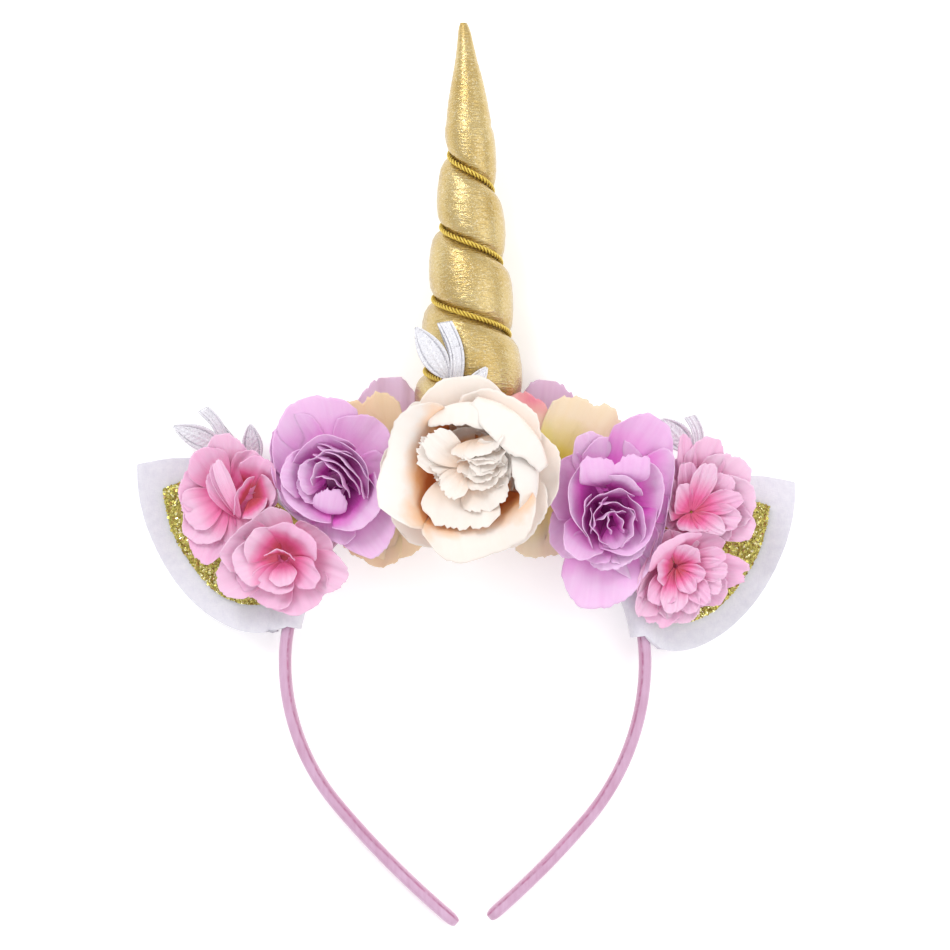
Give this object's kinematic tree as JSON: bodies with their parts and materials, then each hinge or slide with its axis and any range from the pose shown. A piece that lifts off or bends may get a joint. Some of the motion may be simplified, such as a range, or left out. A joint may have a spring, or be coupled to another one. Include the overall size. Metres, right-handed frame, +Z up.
{
  "type": "unicorn horn headband",
  "caption": "Costume headband with a cord-wound stuffed gold horn, white felt ears with glitter insides and a garland of cloth roses and blossoms.",
  "frame": {"origin": "on the table under the middle of the part's box, the headband lying on its back", "axes": "+X to the wearer's left, right in the picture; +Y from the band's ends towards the horn's tip; +Z up off the table, towards the front of the flowers"},
  "size_m": [0.2324, 0.3158, 0.0587],
  "materials": {
    "satin": "pink satin ribbon",
    "gold_lame": "pale gold metallic cloth",
    "gold_cord": "bright gold braided cord",
    "felt_left": "white felt",
    "felt_right": "white felt",
    "glitter_left": "gold glitter sheet",
    "glitter_right": "gold glitter sheet",
    "cream_cloth": "cream petals, peach inside the cup",
    "lilac_cloth_left": "lilac petals",
    "lilac_cloth_right": "lilac petals",
    "pink_cloth_left_upper": "pink petals",
    "pink_cloth_left_lower": "pink petals",
    "pink_cloth_right_upper": "pink petals",
    "pink_cloth_right_lower": "pink petals",
    "peach_cloth_left": "peach petals, yellow at the foot",
    "peach_cloth_right": "peach petals, yellow at the foot",
    "pale_lilac_cloth_left": "pale lilac petals",
    "pale_lilac_cloth_right": "pale lilac petals",
    "silver_leaf_left": "silver embossed cloth",
    "silver_leaf_centre": "silver embossed cloth",
    "silver_leaf_right": "silver embossed cloth"
  },
  "bodies": {
    "root": {"headband": "satin", "horn": "gold_lame", "horn_cord": "gold_cord", "ear_left": "felt_left", "ear_right": "felt_right", "ear_glitter_left": "glitter_left", "ear_glitter_right": "glitter_right", "rose_cream": "cream_cloth", "rose_lilac_left": "lilac_cloth_left", "rose_lilac_right": "lilac_cloth_right", "pink_bloom_left_upper": "pink_cloth_left_upper", "pink_bloom_left_lower": "pink_cloth_left_lower", "pink_bloom_right_upper": "pink_cloth_right_upper", "pink_bloom_right_lower": "pink_cloth_right_lower", "peach_blossom_left": "peach_cloth_left", "peach_blossom_right": "peach_cloth_right", "lilac_blossom_left": "pale_lilac_cloth_left", "lilac_blossom_right": "pale_lilac_cloth_right", "leaf_sprig_left": "silver_leaf_left", "leaf_sprig_centre": "silver_leaf_centre", "leaf_sprig_right": "silver_leaf_right"}
  },
  "joints": []
}
